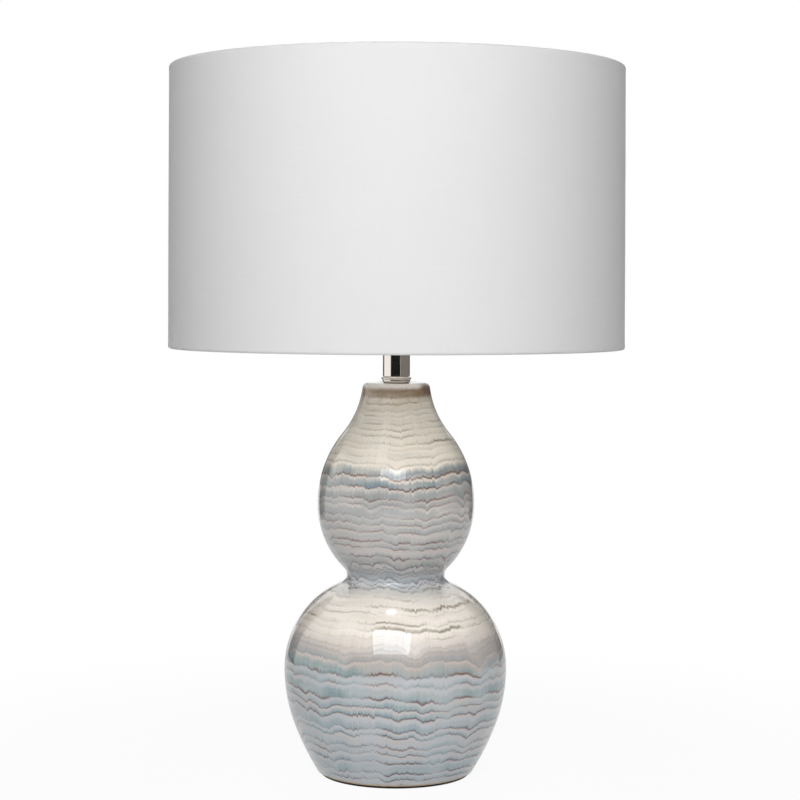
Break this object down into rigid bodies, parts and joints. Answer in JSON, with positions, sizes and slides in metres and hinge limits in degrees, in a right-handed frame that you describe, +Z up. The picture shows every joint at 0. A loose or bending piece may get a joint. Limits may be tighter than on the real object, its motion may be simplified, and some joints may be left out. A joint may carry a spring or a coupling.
{
  "type": "table lamp",
  "caption": "Double gourd table lamp: hollow glazed ceramic body, nickel neck, harp and socket, and a linen drum shade held down by a finial.",
  "frame": {"origin": "centre of the felt foot on the surface that the lamp stands on", "axes": "+Z up along the lamp's axis; -Y is the front, where the switch knob points; +Y is the back, where the cord outlet is; the harp stands in the XZ plane"},
  "size_m": [0.4063, 0.4064, 0.635],
  "materials": {
    "glaze": "glossy banded glaze",
    "felt": "pressed felt",
    "zinc_steel": "zinc plated",
    "nickel": "polished nickel plate",
    "brass": "plain brass",
    "dark_rubber": "matte",
    "black_plastic": "moulded",
    "fibre": "plain paper",
    "frosted_glass": "frosted white",
    "bulb_metal": "bright",
    "linen": "fine plain weave",
    "white_lining": "smooth white"
  },
  "bodies": {
    "base": {"ceramic_body": "glaze", "felt_pad": "felt", "base_plate": "zinc_steel", "lock_washer": "zinc_steel", "base_nut": "zinc_steel", "cord_bushing": "dark_rubber", "threaded_rod": "zinc_steel", "seal_washer": "dark_rubber", "collar_ring": "nickel", "neck_tube": "nickel", "neck_nut": "nickel", "harp_saddle": "nickel", "harp_wire": "nickel", "harp_seat": "nickel", "socket_cap": "nickel", "set_screw": "brass", "socket_shell": "nickel", "paper_sleeve": "fibre", "socket_core": "black_plastic", "screw_shell": "brass", "centre_contact": "brass", "terminal_screws": "brass"},
    "shade": {"shade_linen": "linen", "shade_lining": "white_lining", "shade_spider": "nickel", "bottom_ring": "nickel"},
    "finial": {"finial": "nickel"},
    "switch": {"switch_shaft": "brass", "switch_knob": "black_plastic"},
    "ferrule_left": {"ferrule_left": "nickel"},
    "ferrule_right": {"ferrule_right": "nickel"},
    "bulb": {"bulb_glass": "frosted_glass", "bulb_cap": "bulb_metal", "bulb_contact": "black_plastic"}
  },
  "joints": [
    {"name": "shade_swivel", "type": "hinge", "parent": "base", "child": "shade", "pos_m": [0, 0, 0.61623], "axis": [0, 0, 1], "continuous": true},
    {"name": "finial_turn", "type": "hinge", "parent": "base", "child": "finial", "pos_m": [0, 0, 0.61753], "axis": [0, 0, 1], "continuous": true},
    {"name": "bulb_turn", "type": "hinge", "parent": "base", "child": "bulb", "pos_m": [0, 0, 0.43823], "axis": [0, 0, 1], "continuous": true},
    {"name": "switch_turn", "type": "hinge", "parent": "base", "child": "switch", "pos_m": [0, -0.0194, 0.42423], "axis": [0, -1, 0], "continuous": true},
    {"name": "ferrule_left_lift", "type": "slide", "parent": "base", "child": "ferrule_left", "axis": [0, 0, 1], "range_m": [0, 0.018]},
    {"name": "ferrule_right_lift", "type": "slide", "parent": "base", "child": "ferrule_right", "axis": [0, 0, 1], "range_m": [0, 0.018]}
  ]
}
